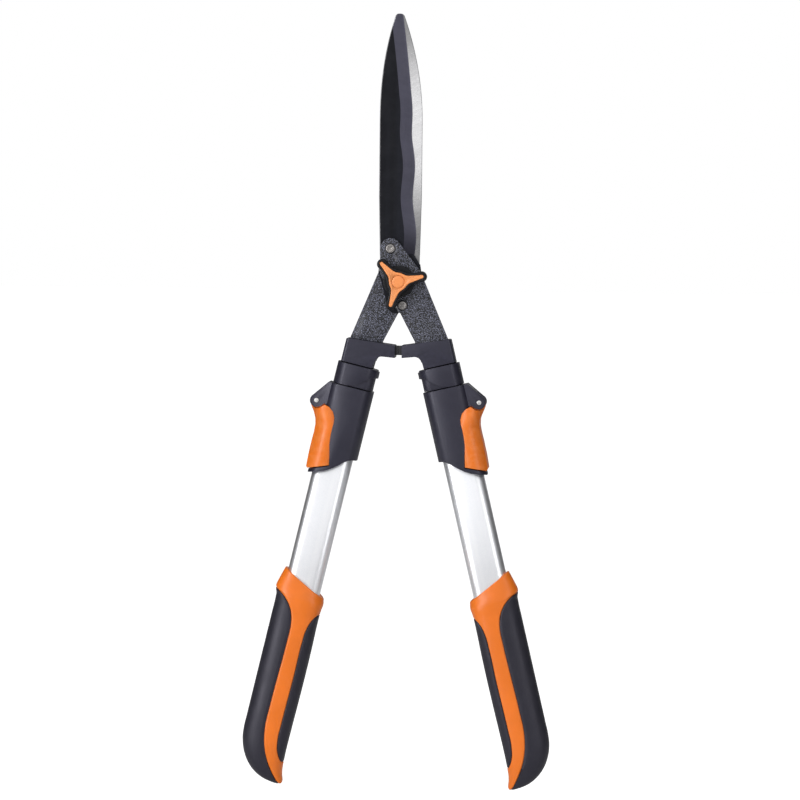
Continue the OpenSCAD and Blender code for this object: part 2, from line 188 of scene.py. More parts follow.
class ShearsFinish(bpy.types.PropertyGroup):
    """Colours and rounding shared by the parts."""

    black: color_of("Black", "Colour of the moulded black parts", (0.0115, 0.011, 0.022))
    orange: color_of("Orange", "Colour of the orange parts", (0.80, 0.172, 0.008))
    soft: color_of("Soft grip", "Colour of the soft pads", (0.011, 0.0105, 0.018))
    paint: color_of("Hammered paint", "Colour of the arm plates", (0.022, 0.023, 0.032))
    coating: color_of("Blade coating", "Colour of the blades' coating", (0.006, 0.0065, 0.010))
    rounding: length("Rounding", "Radius of the moulded parts' edges", 0.6, 0.1, 1)
    segments: IntProperty(name="Segments", description="Steps in each rounded edge", default=3, min=1, max=6)


class ShearsStage(bpy.types.PropertyGroup):
    """Camera, light and floor."""

    azimuth: turn_of("Azimuth", "Camera's angle to the right of the front", 5)
    elevation: turn_of("Elevation", "Camera's angle above level", 4)
    roll: turn_of("Roll", "Camera's turn about its own line of sight", 0.55)
    distance: FloatProperty(name="Distance", description="Camera's distance from the shears",
                            default=2.6, min=0.5, max=10, unit="LENGTH")
    width: FloatProperty(name="Width", description="Width that the camera sees at the shears",
                         default=0.712, min=0.1, max=2, unit="LENGTH")
    aim: FloatVectorProperty(name="Aim", description="Point that the camera looks at, from the pivot",
                             default=(0.0013, 0, -0.1056), size=3, subtype="TRANSLATION", unit="LENGTH")
    brightness: FloatProperty(name="Brightness", description="Strength of the soft boxes", default=1.0,
                              min=0, max=5)


# --- mesh helpers ------------------------------------------------------------------------------------


def finished(name, mesh_data, materials, place, crease=30):
    """Makes an object from built faces, smooth except along edges sharper than the crease angle."""
    bmesh.ops.remove_doubles(mesh_data, verts=mesh_data.verts, dist=1e-6)
    bmesh.ops.dissolve_degenerate(mesh_data, edges=mesh_data.edges, dist=1e-6)
    bmesh.ops.recalc_face_normals(mesh_data, faces=mesh_data.faces)
    mesh = bpy.data.meshes.new(name)
    mesh_data.to_mesh(mesh)
    mesh_data.free()
    for material in materials:
        mesh.materials.append(material)
    mesh.shade_smooth()
    mesh.set_sharp_from_angle(angle=math.radians(crease))
    piece = bpy.data.objects.new(name, mesh)
    bpy.context.scene.collection.objects.link(piece)
    piece.matrix_world = place
    return piece


def loft(rings, capped=True, strips=None):
    """A solid between closed rings of points. Strips lists the materials of the faces above each ring."""
    mesh_data = bmesh.new()
    rows = [[mesh_data.verts.new(point) for point in ring] for ring in rings]
    count = len(rows[0])
    for level, (a, b) in enumerate(zip(rows, rows[1:])):
        for i in range(count):
            face = mesh_data.faces.new((a[i], a[(i + 1) % count], b[(i + 1) % count], b[i]))
            if strips:
                face.material_index = strips[level][i]
    if capped:
        mesh_data.faces.new(rows[0])
        mesh_data.faces.new(rows[-1])
    return mesh_data


def smooth_path(points, step):
    """Points about a step apart on a smooth curve through the given ones."""
    points = np.array(points, float)
    spans = np.diff(points, axis=0)
    gaps = np.linalg.norm(spans, axis=1)[:, None]
    slopes = spans / gaps
    middle = (slopes[:-1] * gaps[1:] + slopes[1:] * gaps[:-1]) / (gaps[:-1] + gaps[1:])
    slopes = np.vstack([slopes[:1], middle, slopes[-1:]])
    path = []
    for i, gap in enumerate(gaps[:, 0]):
        count = max(1, round(gap / step))
        for t in np.arange(count) / count:
            path.append((2 * t**3 - 3 * t**2 + 1) * points[i] + (t**3 - 2 * t**2 + t) * gap * slopes[i]
                        + (3 * t**2 - 2 * t**3) * points[i + 1] + (t**3 - t**2) * gap * slopes[i + 1])
    return np.array(path + [points[-1]])


def even_outline(outline, count):
    """A closed outline as the given number of evenly spaced points."""
    closed = np.vstack([outline, outline[:1]])
    run = np.concatenate([[0], np.cumsum(np.linalg.norm(np.diff(closed, axis=0), axis=1))])
    at = np.arange(count) * run[-1] / count
    return np.column_stack([np.interp(at, run, closed[:, k]) for k in range(2)])


def inset(outline, amount):
    """A counter-clockwise outline moved inwards along its normals."""
    along = np.roll(outline, -1, axis=0) - np.roll(outline, 1, axis=0)
    along /= np.linalg.norm(along, axis=1)[:, None]
    return outline + amount * np.column_stack([-along[:, 1], along[:, 0]])


def circle(radius, count=64):
    """A counter-clockwise circle."""
    turn = np.arange(count) * math.tau / count
    return radius * np.column_stack([np.cos(turn), np.sin(turn)])


def front_solid(outline, profile):
    """A solid from an outline seen from the front. Its profile lists how far in and at what depth."""
    return loft([[(x, depth, z) for x, z in inset(outline, amount)] for amount, depth in profile])


def rounded(radius, face, back, steps=5):
    """The profile of a plate from its back to a front face whose edge has the given radius."""
    turns = [math.radians(90 * i / steps) for i in range(steps + 1)]
    toward = 1 if back > face else -1
    return [(0, back)] + [(radius * (1 - math.cos(t)), face + toward * radius * (1 - math.sin(t)))
                          for t in turns]


def cut(piece, cutters):
    """Cuts closed solids out of a piece for good."""
    for cutter in cutters:
        tool = finished("cutter", cutter, [], piece.matrix_world)
        modifier = piece.modifiers.new("cut", "BOOLEAN")
        modifier.operation, modifier.solver, modifier.object = "DIFFERENCE", "EXACT", tool
        graph = bpy.context.evaluated_depsgraph_get()
        mesh = bpy.data.meshes.new_from_object(piece.evaluated_get(graph))
        piece.modifiers.clear()
        piece.data = mesh
        bpy.data.objects.remove(tool)


def joined(piece, other):
    """Adds another object's mesh to a piece and takes the other object away."""
    mesh_data = bmesh.new()
    mesh_data.from_mesh(piece.data)
    mesh_data.from_mesh(other.data)
    mesh_data.to_mesh(piece.data)
    mesh_data.free()
    bpy.data.objects.remove(other)
    return piece


def stands_for(piece, node):
    """Puts a new piece in the place of a part of the frame, on the same body."""
    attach(piece, frame["nodes"][node]["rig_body"])
    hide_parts(node)


# --- shader groups -----------------------------------------------------------------------------------


class Nodes:
    """Adds nodes to a tree, with values or other nodes' outputs on their inputs."""

    def __init__(self, tree):
        self.tree = tree

    def add(self, kind, inputs=None, **settings):
        node = self.tree.nodes.new(kind)
        for name, value in settings.items():
            setattr(node, name, value)
        self.fill(node, inputs or {})
        return node

    def fill(self, node, inputs):
        for key, value in inputs.items():
            if isinstance(value, bpy.types.NodeSocket):
                self.tree.links.new(value, node.inputs[key])
            else:
                node.inputs[key].default_value = value

    def math(self, operation, *values):
        return self.add("ShaderNodeMath", dict(enumerate(values)), operation=operation).outputs[0]

    def vector(self, operation, *values):
        return self.add("ShaderNodeVectorMath", dict(enumerate(values)), operation=operation).outputs[0]

    def split(self, vector):
        return self.add("ShaderNodeSeparateXYZ", {0: vector}).outputs

    def remap(self, value, low, high, to_low=0.0, to_high=1.0):
        inputs = {"Value": value, "From Min": low, "From Max": high, "To Min": to_low, "To Max": to_high}
        return self.add("ShaderNodeMapRange", inputs, interpolation_type="SMOOTHSTEP").outputs[0]

    def noise(self, vector, scale, detail, roughness=0.5):
        inputs = {"Vector": vector, "Scale": scale, "Detail": detail, "Roughness": roughness}
        return self.add("ShaderNodeTexNoise", inputs).outputs[0]

    def mix(self, factor, first, second):
        return self.add("ShaderNodeMix", {0: factor, 6: first, 7: second}, data_type="RGBA").outputs[2]


def shader_group(name, inputs, outputs):
    """An empty shader group with named sockets, its helper, and its input and output nodes."""
    tree = bpy.data.node_groups.new(name, "ShaderNodeTree")
    for label, default in inputs.items():
        kind = "NodeSocketVector" if default is None else "NodeSocketFloat"
        socket = tree.interface.new_socket(name=label, in_out="INPUT", socket_type=kind)
        if default is not None:
            socket.default_value = default
    for label in outputs:
        tree.interface.new_socket(name=label, in_out="OUTPUT", socket_type="NodeSocketFloat")
    nodes = Nodes(tree)
    return tree, nodes, nodes.add("NodeGroupInput").outputs, nodes.add("NodeGroupOutput").inputs


def fine_grain_group():
    """The fine pebbled texture of moulded plastic and cast surfaces."""
    tree, nodes, given, result = shader_group(
        "Fine grain", {"Vector": None, "Scale": 1500.0, "Cloud scale": 40.0}, ("Height", "Cloud"))
    clouds = nodes.noise(given["Vector"], given["Cloud scale"], 5.0, 0.55)
    tree.links.new(nodes.noise(given["Vector"], given["Scale"], 3.0, 0.6), result["Height"])
    tree.links.new(nodes.remap(clouds, 0.35, 0.65), result["Cloud"])
    return tree


def edge_wear_group():
    """Where rubbed edges show, broken up so that the wear is uneven."""
    tree, nodes, given, result = shader_group(
        "Edge wear", {"Vector": None, "Scale": 250.0, "Start": 0.52, "End": 0.6}, ("Mask",))
    points = nodes.add("ShaderNodeNewGeometry").outputs["Pointiness"]
    broken = nodes.remap(nodes.noise(given["Vector"], given["Scale"], 4.0), 0.35, 0.62)
    edges = nodes.add("ShaderNodeMapRange", {"Value": points, "From Min": given["Start"],
                                             "From Max": given["End"]})
    tree.links.new(nodes.math("MULTIPLY", edges.outputs[0], broken), result["Mask"])
    return tree


def dust_group():
    """A thin uneven film of dust."""
    tree, nodes, given, result = shader_group(
        "Dust", {"Vector": None, "Scale": 60.0, "Amount": 0.5}, ("Mask",))
    film = nodes.remap(nodes.noise(given["Vector"], given["Scale"], 8.0, 0.7), 0.4, 0.75)
    specks = nodes.remap(nodes.noise(given["Vector"], 2200.0, 2.0), 0.66, 0.74, 0.0, 0.8)
    tree.links.new(nodes.math("MULTIPLY", nodes.math("ADD", film, specks), given["Amount"]), result["Mask"])
    return tree


def brushed_group():
    """Fine lines along the local Z axis, as grinding, drawing or brushing leaves."""
    tree, nodes, given, result = shader_group(
        "Brushed lines", {"Vector": None, "Fineness": 900.0, "Stretch": 0.02}, ("Height", "Streak"))
    squeeze = nodes.add("ShaderNodeCombineXYZ", {0: 1.0, 1: 1.0, 2: given["Stretch"]}).outputs[0]
    along = nodes.vector("MULTIPLY", given["Vector"], squeeze)
    wide = nodes.noise(along, nodes.math("MULTIPLY", given["Fineness"], 0.15), 3.0)
    tree.links.new(nodes.noise(along, given["Fineness"], 4.0, 0.65), result["Height"])
    tree.links.new(nodes.remap(wide, 0.35, 0.65), result["Streak"])
    return tree


EFFECTS = {"grain": fine_grain_group, "wear": edge_wear_group, "dust": dust_group, "brushed": brushed_group}
GROUPS = {}


# --- materials ---------------------------------------------------------------------------------------


class Recipe(Nodes):
    """One material: its Principled shader, the surface's own coordinates and the shared effects."""

    def __init__(self, name, **constants):
        self.material = bpy.data.materials.new(name)
        self.material.use_nodes = True
        super().__init__(self.material.node_tree)
        self.shader = self.tree.nodes["Principled BSDF"]
        for label, value in constants.items():
            self.shader.inputs[label.replace("_", " ")].default_value = value
        self.place = self.add("ShaderNodeTexCoord").outputs["Object"]

    def use(self, kind, **values):
        """Adds one of the shared effects and returns its outputs."""
        if kind not in GROUPS:
            GROUPS[kind] = EFFECTS[kind]()
        node = self.add("ShaderNodeGroup", node_tree=GROUPS[kind])
        inputs = {label.replace("_", " "): value for label, value in values.items()}
        inputs.setdefault("Vector", self.place)
        self.fill(node, inputs)
        return node.outputs

    def done(self, **looks):
        """Feeds what changes over the surface to the shader and gives the finished material."""
        for label, value in looks.items():
            self.tree.links.new(value, self.shader.inputs[label.replace("_", " ")])
        return self.material

    def bump(self, height, strength, distance, normal=None):
        inputs = {"Height": height, "Strength": strength, "Distance": distance}
        if normal is not None:
            inputs["Normal"] = normal
        return self.add("ShaderNodeBump", inputs).outputs[0]


def tone(color, factor):
    """A colour made lighter or darker, with alpha."""
    return tuple(min(1.0, c * factor) for c in color) + (1.0,)


def moulded(name, color, roughness, grain_scale, grain_depth, wear_and_highlight, crown=None, pale=None,
            **constants):
    """Moulded plastic or rubber: fine grain, slight clouds of colour, rubbed edges and a little dust.

    A crown gives the height of a broad curve, and pale says where the colour is painted lighter, as a painted
    highlight, towards the same light colour as the rubbed edges.
    """
    make = Recipe(name, **constants)
    grain = make.use("grain", Scale=grain_scale, Cloud_scale=45.0)
    wear = make.use("wear", Scale=300.0)["Mask"]
    dust = make.use("dust", Scale=70.0, Amount=0.012)["Mask"]
    body = make.mix(grain["Cloud"], tone(color, 0.97), tone(color, 1.04))
    body = make.mix(make.math("MULTIPLY", wear, 0.12), body, wear_and_highlight)
    # Painted highlight: the colour is mixed paler where the pale mask says, towards the light colour of the
    # rubbed edges.
    if pale:
        body = make.mix(pale(make), body, wear_and_highlight)
    shape = make.bump(crown(make), 1.0, 1.0) if crown else None
    return make.done(Base_Color=make.mix(dust, body, (0.30, 0.29, 0.28, 1.0)),
                     Roughness=make.remap(grain["Cloud"], 0.0, 1.0, roughness - 0.03, roughness + 0.04),
                     Normal=make.bump(grain["Height"], 0.35, grain_depth, shape))


def in_handle(make):
    """How far outwards and how far up a point lies in its handle's space, on either side."""
    parts = make.split(make.vector("SUBTRACT", make.place, tuple(PIVOT)))
    away = make.math("ABSOLUTE", parts[0])
    origin, outward, up = (HANDLES["right"].col[i].xyz for i in (3, 0, 2))
    return [make.math("ADD", make.math("MULTIPLY_ADD", parts[2], axis.z, axis.dot(PIVOT - origin)),
                      make.math("MULTIPLY", away, axis.x)) for axis in (outward, up)]


def crowned(make, offset, curve):
    """The height of a surface that falls away on both sides of a line."""
    return make.math("MULTIPLY", make.math("MULTIPLY", offset, offset), -curve)


def lever_crown(make):
    """A ridge down both levers, nearer their inner edge."""
    outward, up = in_handle(make)
    ridge = make.remap(up, -138 * MM, -118 * MM, 9 * MM, 17 * MM)
    return crowned(make, make.math("SUBTRACT", outward, ridge), 42.0)


def housing_crown(make):
    """A slight bulge across the collars and the lock housings."""
    return crowned(make, in_handle(make)[0], 9.0)


def outwards(make):
    """A mask that grows from the knob's centre cap to the ends of its arms, where it paints the insert paler
    as a painted highlight.
    """
    reach = make.add("ShaderNodeVectorMath", {0: make.place}, operation="LENGTH").outputs["Value"]
    return make.remap(reach, 5 * MM, 23 * MM, 0.0, 0.6)


def black_plastic(name="Black plastic", crown=None):
    color = bpy.context.scene.shears_finish.black
    return moulded(name, color, 0.42, 1400.0, 0.00012, tone(color, 4.0), crown, Specular_IOR_Level=0.6,
                   Specular_Tint=(0.88, 0.87, 1.0, 1.0))


def housing_plastic():
    return black_plastic("Housing plastic", housing_crown)


def soft_grip():
    color = bpy.context.scene.shears_finish.soft
    return moulded("Soft rubber", color, 0.44, 1100.0, 0.00016, tone(color, 3.0), Specular_IOR_Level=0.5,
                   Specular_Tint=(0.9, 0.88, 1.0, 1.0))


def bumper_rubber():
    return moulded("Bumper rubber", (0.010, 0.010, 0.013), 0.7, 900.0, 0.0002, (0.08, 0.08, 0.08, 1.0))


def orange_plastic(name="Orange plastic", crown=None, pale=None):
    color = bpy.context.scene.shears_finish.orange
    return moulded(name, color, 0.34, 1700.0, 0.00007, (0.93, 0.42, 0.17, 1.0), crown, pale,
                   Specular_IOR_Level=0.4, Coat_Weight=0.1, Coat_Roughness=0.3)


def lever_orange():
    return orange_plastic("Lever orange", lever_crown)


# The insert's arms are painted paler towards their ends: a painted highlight.
def insert_orange():
    return orange_plastic("Insert orange", pale=outwards)


def knob_black():
    return moulded("Knob black", (0.005, 0.005, 0.007), 0.3, 1400.0, 0.00008, (0.05, 0.05, 0.05, 1.0),
                   Specular_IOR_Level=0.25)


def steel(name, color, roughness, fineness, stretch, depth, lean=0.0, shade=0.25, fade=None):
    """Bare or plated steel with grinding lines, which lean over by an angle about the front axis.

    A fade of (height, near, far, amount) darkens it from near to far above or below a height: painted shade,
    which leaves a painted reflection brightest at that height.
    """
    make = Recipe(name, Metallic=1.0)
    leaning = make.add("ShaderNodeMapping", {"Vector": make.place, "Rotation": (0.0, lean, 0.0)}).outputs[0]
    lines = make.use("brushed", Vector=leaning, Fineness=fineness, Stretch=stretch)
    grain = make.use("grain", Scale=700.0, Cloud_scale=25.0)
    dust = make.use("dust", Scale=45.0, Amount=0.04)["Mask"]
    patchy = make.math("MULTIPLY", make.math("ADD", lines["Streak"], grain["Cloud"]), 0.5)
    metal = make.mix(patchy, tone(color, 1 - shade), tone(color, 1 + shade * 0.4))
    # Painted shade: the metal is mixed darker away from the fade's height.
    if fade:
        middle, near, far, amount = fade
        away = make.math("ABSOLUTE", make.math("SUBTRACT", make.split(make.place)[2], middle))
        metal = make.mix(make.remap(away, near, far, 0.0, amount), metal, tone(color, 0.15))
    return make.done(Base_Color=make.mix(dust, metal, (0.25, 0.24, 0.23, 1.0)),
                     Roughness=make.remap(lines["Height"], 0.3, 0.7, roughness - 0.06, roughness + 0.08),
                     Normal=make.bump(lines["Height"], 0.4, depth))


# The ground inner face is painted brightest around 135 mm above the pivot and darker towards the root and the
# tip: a painted reflection and painted shade.
def ground_steel():
    return steel("Ground steel", (0.96, 0.955, 0.97), 0.3, 1500.0, 0.012, 0.00003, math.radians(62), 0.07,
                 (0.135, 0.02, 0.1, 0.8))


# The bevel is painted darker towards its root and its tip: painted shade.
def ground_bevel():
    return steel("Ground bevel", (0.096, 0.094, 0.127), 0.34, 1300.0, 0.02, 0.00004, math.radians(70), 0.1,
                 (0.14, 0.085, 0.12, 0.8))


def spine_steel():
    return steel("Spine steel", (0.32, 0.32, 0.34), 0.38, 900.0, 0.03, 0.00004)


def zinc_steel():
    return steel("Zinc steel", (0.86, 0.85, 0.84), 0.30, 700.0, 0.4, 0.00005)


def screw_steel():
    return steel("Screw steel", (0.42, 0.40, 0.39), 0.26, 500.0, 0.6, 0.00015, shade=0.5)


def coated_blade():
    """Dark slick coating with faint lines down the blade."""
    color = bpy.context.scene.shears_finish.coating
    make = Recipe("Coated blade", Specular_IOR_Level=0.15)
    lines = make.use("brushed", Fineness=650.0, Stretch=0.01)
    grain = make.use("grain", Scale=1200.0, Cloud_scale=30.0)
    dust = make.use("dust", Scale=40.0, Amount=0.04)["Mask"]
    body = make.mix(lines["Streak"], tone(color, 0.75), tone(color, 1.5))
    return make.done(Base_Color=make.mix(dust, body, (0.16, 0.16, 0.18, 1.0)),
                     Roughness=make.remap(grain["Cloud"], 0.0, 1.0, 0.36, 0.46),
                     Normal=make.bump(lines["Height"], 0.25, 0.00004))


def hammered_paint():
    """Dark paint drawn up into the small raised cells of a hammered finish."""
    color = bpy.context.scene.shears_finish.paint
    make = Recipe("Hammered paint", Specular_IOR_Level=0.4, Coat_Weight=0.08, Coat_Roughness=0.2)
    bent = make.add("ShaderNodeTexNoise", {"Vector": make.place, "Scale": 260.0, "Detail": 2.0})
    wobble = make.add("ShaderNodeVectorMath", {0: bent.outputs["Color"], "Scale": 0.0015}, operation="SCALE")
    moved = make.vector("ADD", make.place, wobble.outputs[0])
    cells = make.add("ShaderNodeTexVoronoi", {"Vector": moved, "Scale": 1050.0, "Smoothness": 0.15},
                     feature="SMOOTH_F1")
    domes = make.remap(cells.outputs["Distance"], 0.15, 0.7, 1.0, 0.0)
    grain = make.use("grain", Scale=900.0, Cloud_scale=60.0)
    wear = make.use("wear", Scale=220.0)["Mask"]
    dust = make.use("dust", Scale=55.0, Amount=0.05)["Mask"]
    body = make.mix(make.math("POWER", domes, 3.0), tone(color, 0.1), tone(color, 9.0))
    body = make.mix(make.remap(grain["Height"], 0.55, 0.68), body, tone(color, 10.0))
    body = make.mix(make.math("MULTIPLY", wear, 0.3), body, (0.35, 0.35, 0.37, 1.0))
    return make.done(Base_Color=make.mix(dust, body, (0.2, 0.2, 0.2, 1.0)),
                     Roughness=make.remap(domes, 0.0, 1.0, 0.45, 0.3),
                     Normal=make.bump(domes, 0.8, 0.00022))


def anodised_aluminium(name, start, slope, level):
    """Satin tube: a fine speckle over faint lines along the tube.

    Its top is painted near black down to a line: painted shade for the narrow gaps where it shows between the
    parts over it.
    The line is given by where it starts across the tube, its slope and its height on the axis.
    """
    make = Recipe(name, Metallic=1.0)
    outward, up = in_handle(make)
    depth = make.split(make.place)[1]
    make.place = make.add("ShaderNodeCombineXYZ", {0: outward, 1: depth, 2: up}).outputs[0]
    lines = make.use("brushed", Fineness=1100.0, Stretch=0.008)
    grain = make.use("grain", Scale=2600.0, Cloud_scale=18.0)
    dust = make.use("dust", Scale=30.0, Amount=0.03)["Mask"]
    metal = make.mix(lines["Streak"], (0.86, 0.875, 0.92, 1.0), (0.92, 0.93, 0.965, 1.0))
    metal = make.mix(make.remap(grain["Height"], 0.35, 0.7), metal, (0.97, 0.975, 0.99, 1.0))
    metal = make.mix(dust, metal, (0.5, 0.49, 0.48, 1.0))
    # Painted shade: near black above the line, where the tube shows only in the narrow gaps under the parts
    # over it.
    above = make.math("GREATER_THAN", make.math("MULTIPLY_ADD", outward, slope, up), level)
    gap_shade = make.math("MULTIPLY", above, make.math("GREATER_THAN", outward, start))
    height = make.math("ADD", lines["Height"], grain["Height"])
    return make.done(Base_Color=make.mix(gap_shade, metal, (0.004, 0.004, 0.005, 1.0)),
                     Roughness=make.remap(grain["Height"], 0.3, 0.7, 0.33, 0.43),
                     Normal=make.bump(height, 0.3, 0.00003))


def outer_tube():
    return anodised_aluminium("Outer tube", 0.0, 0.385, -169.8 * MM)


def inner_tube():
    return anodised_aluminium("Inner tube", -1.0, 0.0, -97.5 * MM)


def floor_paint():
    make = Recipe("Floor paint", Roughness=0.8, Specular_IOR_Level=0.1, Emission_Color=WHITE)
    seen = make.add("ShaderNodeLightPath").outputs["Is Camera Ray"]
    return make.done(Emission_Strength=make.math("MULTIPLY", seen, 0.75),
                     Base_Color=make.mix(make.noise(make.place, 1.5, 2.0), (0.93, 0.93, 0.93, 1.0),
                                         (0.95, 0.95, 0.95, 1.0)))


FINISHES = {made.__name__: made for made in (
    black_plastic, housing_plastic, soft_grip, bumper_rubber, orange_plastic, lever_orange, insert_orange,
    knob_black, ground_steel, ground_bevel, spine_steel, zinc_steel, screw_steel, coated_blade,
    hammered_paint, outer_tube, inner_tube, floor_paint)}
MADE = {}


def finish(name):
    """A material by name, made the first time it is asked for."""
    if name not in MADE:
        MADE[name] = FINISHES[name]()
    return MADE[name]


# --- blades ------------------------------------------------------------------------------------------

# Materials along the outside of a blade's section, from the inner face round the spine to the edge.
BLADE_FINISHES = ("ground_steel", "spine_steel", "coated_blade", "ground_bevel")
INNER, SPINE, COATED, BEVEL = range(4)
BLADE_GAP = 0.1 * MM          # from the plane between the blades to each inner face
SPINE_X = -18.8 * MM
SPINE_BEND = 75 * MM          # height below which the spine leans towards the edge
EDGE_X = 13 * MM              # where the edge is at the height of its first wave
FIRST_WAVE = 42 * MM
EDGE_LEAN = 0.026
WAVES_FADE = (125 * MM, 165 * MM)
TAPER_START = 140 * MM
TAPER_END = 236 * MM
BEVEL_END = 24 * MM           # height above the pivot at which the bevel starts
GROUND_END = 8 * MM           # height above the pivot at which the bright inner face starts
EDGE_THICK = 0.4 * MM
HOLLOW = 0.1 * MM
TIP_ROUND = 2.3 * MM
# The flat root's sides below the bevel, [across, up] from the pivot, going down.
ROOT_EDGE_SIDE = mm([[12.6, 24], [18.3, 14.8], [19.2, 9], [10.5, -22.5]])
ROOT_SPINE_SIDE = mm([[-17.7, 24], [-16.2, 6.8], [-0.4, -27.8]])
ROOT_SCREW = mm([3.1, -21.2])
HEAD_SCREW = mm([-8.0, 29])
ROOT_ROUND = 7.5 * MM
SCREW_HOLE = 2.5 * MM
BOLT_HOLE = 4.05 * MM
# Each blade's turn about the pivot's upright, and how it narrows to its tip: at the spine by this much and
# with this power, and at the edge.
BLADE_TIPS = {"front_blade": (0, (13.8, 2.3, 7.2)), "rear_blade": (math.pi, (17.4, 2.0, 4.6))}


def taper(z, power):
    return max(0.0, (z - TAPER_START) / (TAPER_END - TAPER_START)) ** power


def spine_at(z, tip):
    return SPINE_X + tip[0] * MM * taper(z, tip[1]) + 1.1 * max(0.0, SPINE_BEND - z) / 50


def edge_at(z, tip, blades):
    """The wavy cutting edge, which runs straight near the tip."""
    fade = max(0.0, min(1.0, (WAVES_FADE[1] - z) / (WAVES_FADE[1] - WAVES_FADE[0])))
    wave = blades.wave_height * fade * math.cos(math.tau * (z - FIRST_WAVE) / blades.wave_pitch)
    return EDGE_X - EDGE_LEAN * (z - FIRST_WAVE) - tip[2] * MM * taper(z, 1.5) + wave


def blade_sides(z, tip, blades):
    """Where the spine and the cutting edge are at a height."""
    if z < BEVEL_END:
        left = np.interp(-z, -ROOT_SPINE_SIDE[:, 1], ROOT_SPINE_SIDE[:, 0])
        right = np.interp(-z, -ROOT_EDGE_SIDE[:, 1], ROOT_EDGE_SIDE[:, 0])
        below = ROOT_SCREW[1] - z
        if below > 0:
            reach = math.sqrt(max(0.0, ROOT_ROUND**2 - below**2))
            left, right = max(left, ROOT_SCREW[0] - reach), min(right, ROOT_SCREW[0] + reach)
        return left, right
    left, right = spine_at(z, tip), edge_at(z, tip, blades)
    into_tip = z - (blades.reach - TIP_ROUND)
    if into_tip > 0:
        drawn_in = TIP_ROUND - math.sqrt(max(0.0, TIP_ROUND**2 - into_tip**2))
        left, right = left + drawn_in, right - drawn_in
    return left, right


def blade_section(z, tip, blades, bevelled):
    """Points [across, outwards from the inner face] once round the blade, and the strips' materials."""
    left, right = blade_sides(z, tip, blades)
    small = min(1.0, (right - left) / (6 * MM))
    chamfer, nick = 0.7 * MM * small, 0.3 * MM * small
    start = max(left + chamfer + 0.05 * MM, right - blades.bevel) if bevelled else right - 0.5 * MM * small

    def thickness(x):
        if not bevelled:
            return blades.thickness
        share = min(1.0, (right - x) / blades.bevel)
        return EDGE_THICK + (blades.thickness - EDGE_THICK) * share - HOLLOW * math.sin(math.pi * share)

    full = thickness(left)
    inside = INNER if z > GROUND_END else COATED
    points = [(left + nick, 0, inside), (left, nick, SPINE), (left, full - chamfer * 0.7, SPINE)]
    flat = np.linspace(left + chamfer, start, 5)
    points += [(x, thickness(x), COATED) for x in flat[:-1]]
    strip = BEVEL if bevelled else COATED
    points += [(x, thickness(x), strip) for x in np.linspace(start, right - 0.3 * MM * small, 6)]
    points += [(right, thickness(right) * (0.8 if bevelled else 0.9), SPINE), (right, 0, inside)]
    points += [(x, 0, inside) for x in np.linspace(right, left + nick, 8)[1:-1]]
    return points


def blade_heights(blades):
    """Heights of the blade's sections, closer together where its outline bends."""
    root_low = ROOT_SCREW[1] - ROOT_ROUND
    turns = np.radians(np.linspace(8, 85, 9))
    bottom = ROOT_SCREW[1] - ROOT_ROUND * np.cos(turns)
    flat = np.arange(root_low + ROOT_ROUND, BEVEL_END, 2 * MM)
    long = np.arange(BEVEL_END, blades.reach - TIP_ROUND, 1.5 * MM)
    turns = np.radians(np.linspace(0, 84, 9))
    tip = blades.reach - TIP_ROUND + TIP_ROUND * np.sin(turns)
    rows = [(z, False) for z in np.concatenate([bottom, flat])] + [(BEVEL_END - 0.3 * MM, False)]
    return rows + [(z, True) for z in np.concatenate([long, tip])]


def blade_mesh(tip, blades):
    """A blade with its flat root, drawn around the pivot as the front blade lies."""
    heights = blade_heights(blades)
    sections = [blade_section(z, tip, blades, bevelled) for z, bevelled in heights]
    rings = [[(x, -BLADE_GAP - out, z) for x, out, _ in section]
             for (z, _), section in zip(heights, sections)]
    return loft(rings, strips=[[strip for *_, strip in section] for section in sections])


def hole(at, radius):
    """A round cutter through both blades."""
    return front_solid(circle(radius, 32) + at, [(0, -10 * MM), (0, 10 * MM)])


class SHEARS_OT_blades(bpy.types.Operator):
    """Grinds the two blades, with wavy edges, hollow bevels and coated outer faces"""

    bl_idname = "shears.blades"
    bl_label = "Blades"

    def execute(self, context):
        blades = context.scene.shears_blades
        for node, (turn, tip) in BLADE_TIPS.items():
            place = Matrix.Translation(PIVOT) @ Matrix.Rotation(turn, 4, "Z")
            piece = finished(f"ground_{node}", blade_mesh(tip, blades), [finish(n) for n in BLADE_FINISHES],
                             place, 25)
            cut(piece, [hole((0, 0), BOLT_HOLE), hole(HEAD_SCREW, SCREW_HOLE), hole(ROOT_SCREW, SCREW_HOLE)])
            stands_for(piece, node)
        return {"FINISHED"}


# --- knob --------------------------------------------------------------------------------------------

# Stars: the hub's radius, half an arm's width where it ends, the end's radius, the flare and the reach.
# The knob's own reach is one of the sizes above.
KNOB_STAR = {"hub": 10.0 * MM, "arm": 3.9 * MM, "end": 4.7 * MM, "flare": 0.10}
INSERT_STAR = {"hub": 7.8 * MM, "arm": 1.5 * MM, "end": 1.6 * MM, "flare": 0.14, "reach": 23.2 * MM}
FLANGE_THICK = 2.5 * MM
FLANGE_RADIUS = 14 * MM
KNOB_BORE = 4.1 * MM          # radius
RECESS_DEPTH = 1.2 * MM       # of the seat that the insert lies in
INSERT_FIT = 0.12 * MM        # gap between the insert and its seat
RING_RADIUS = 5.7 * MM        # of the hole in the insert that the cap stands in
CAP_RADIUS = 5.55 * MM
# The cap's dome: how far in from its side, and how far below its top.
CAP_DOME = mm([[0, 1.1], [0.12, 0.7], [0.45, 0.35], [1.0, 0.15], [2.2, 0.04], [4.0, 0]])


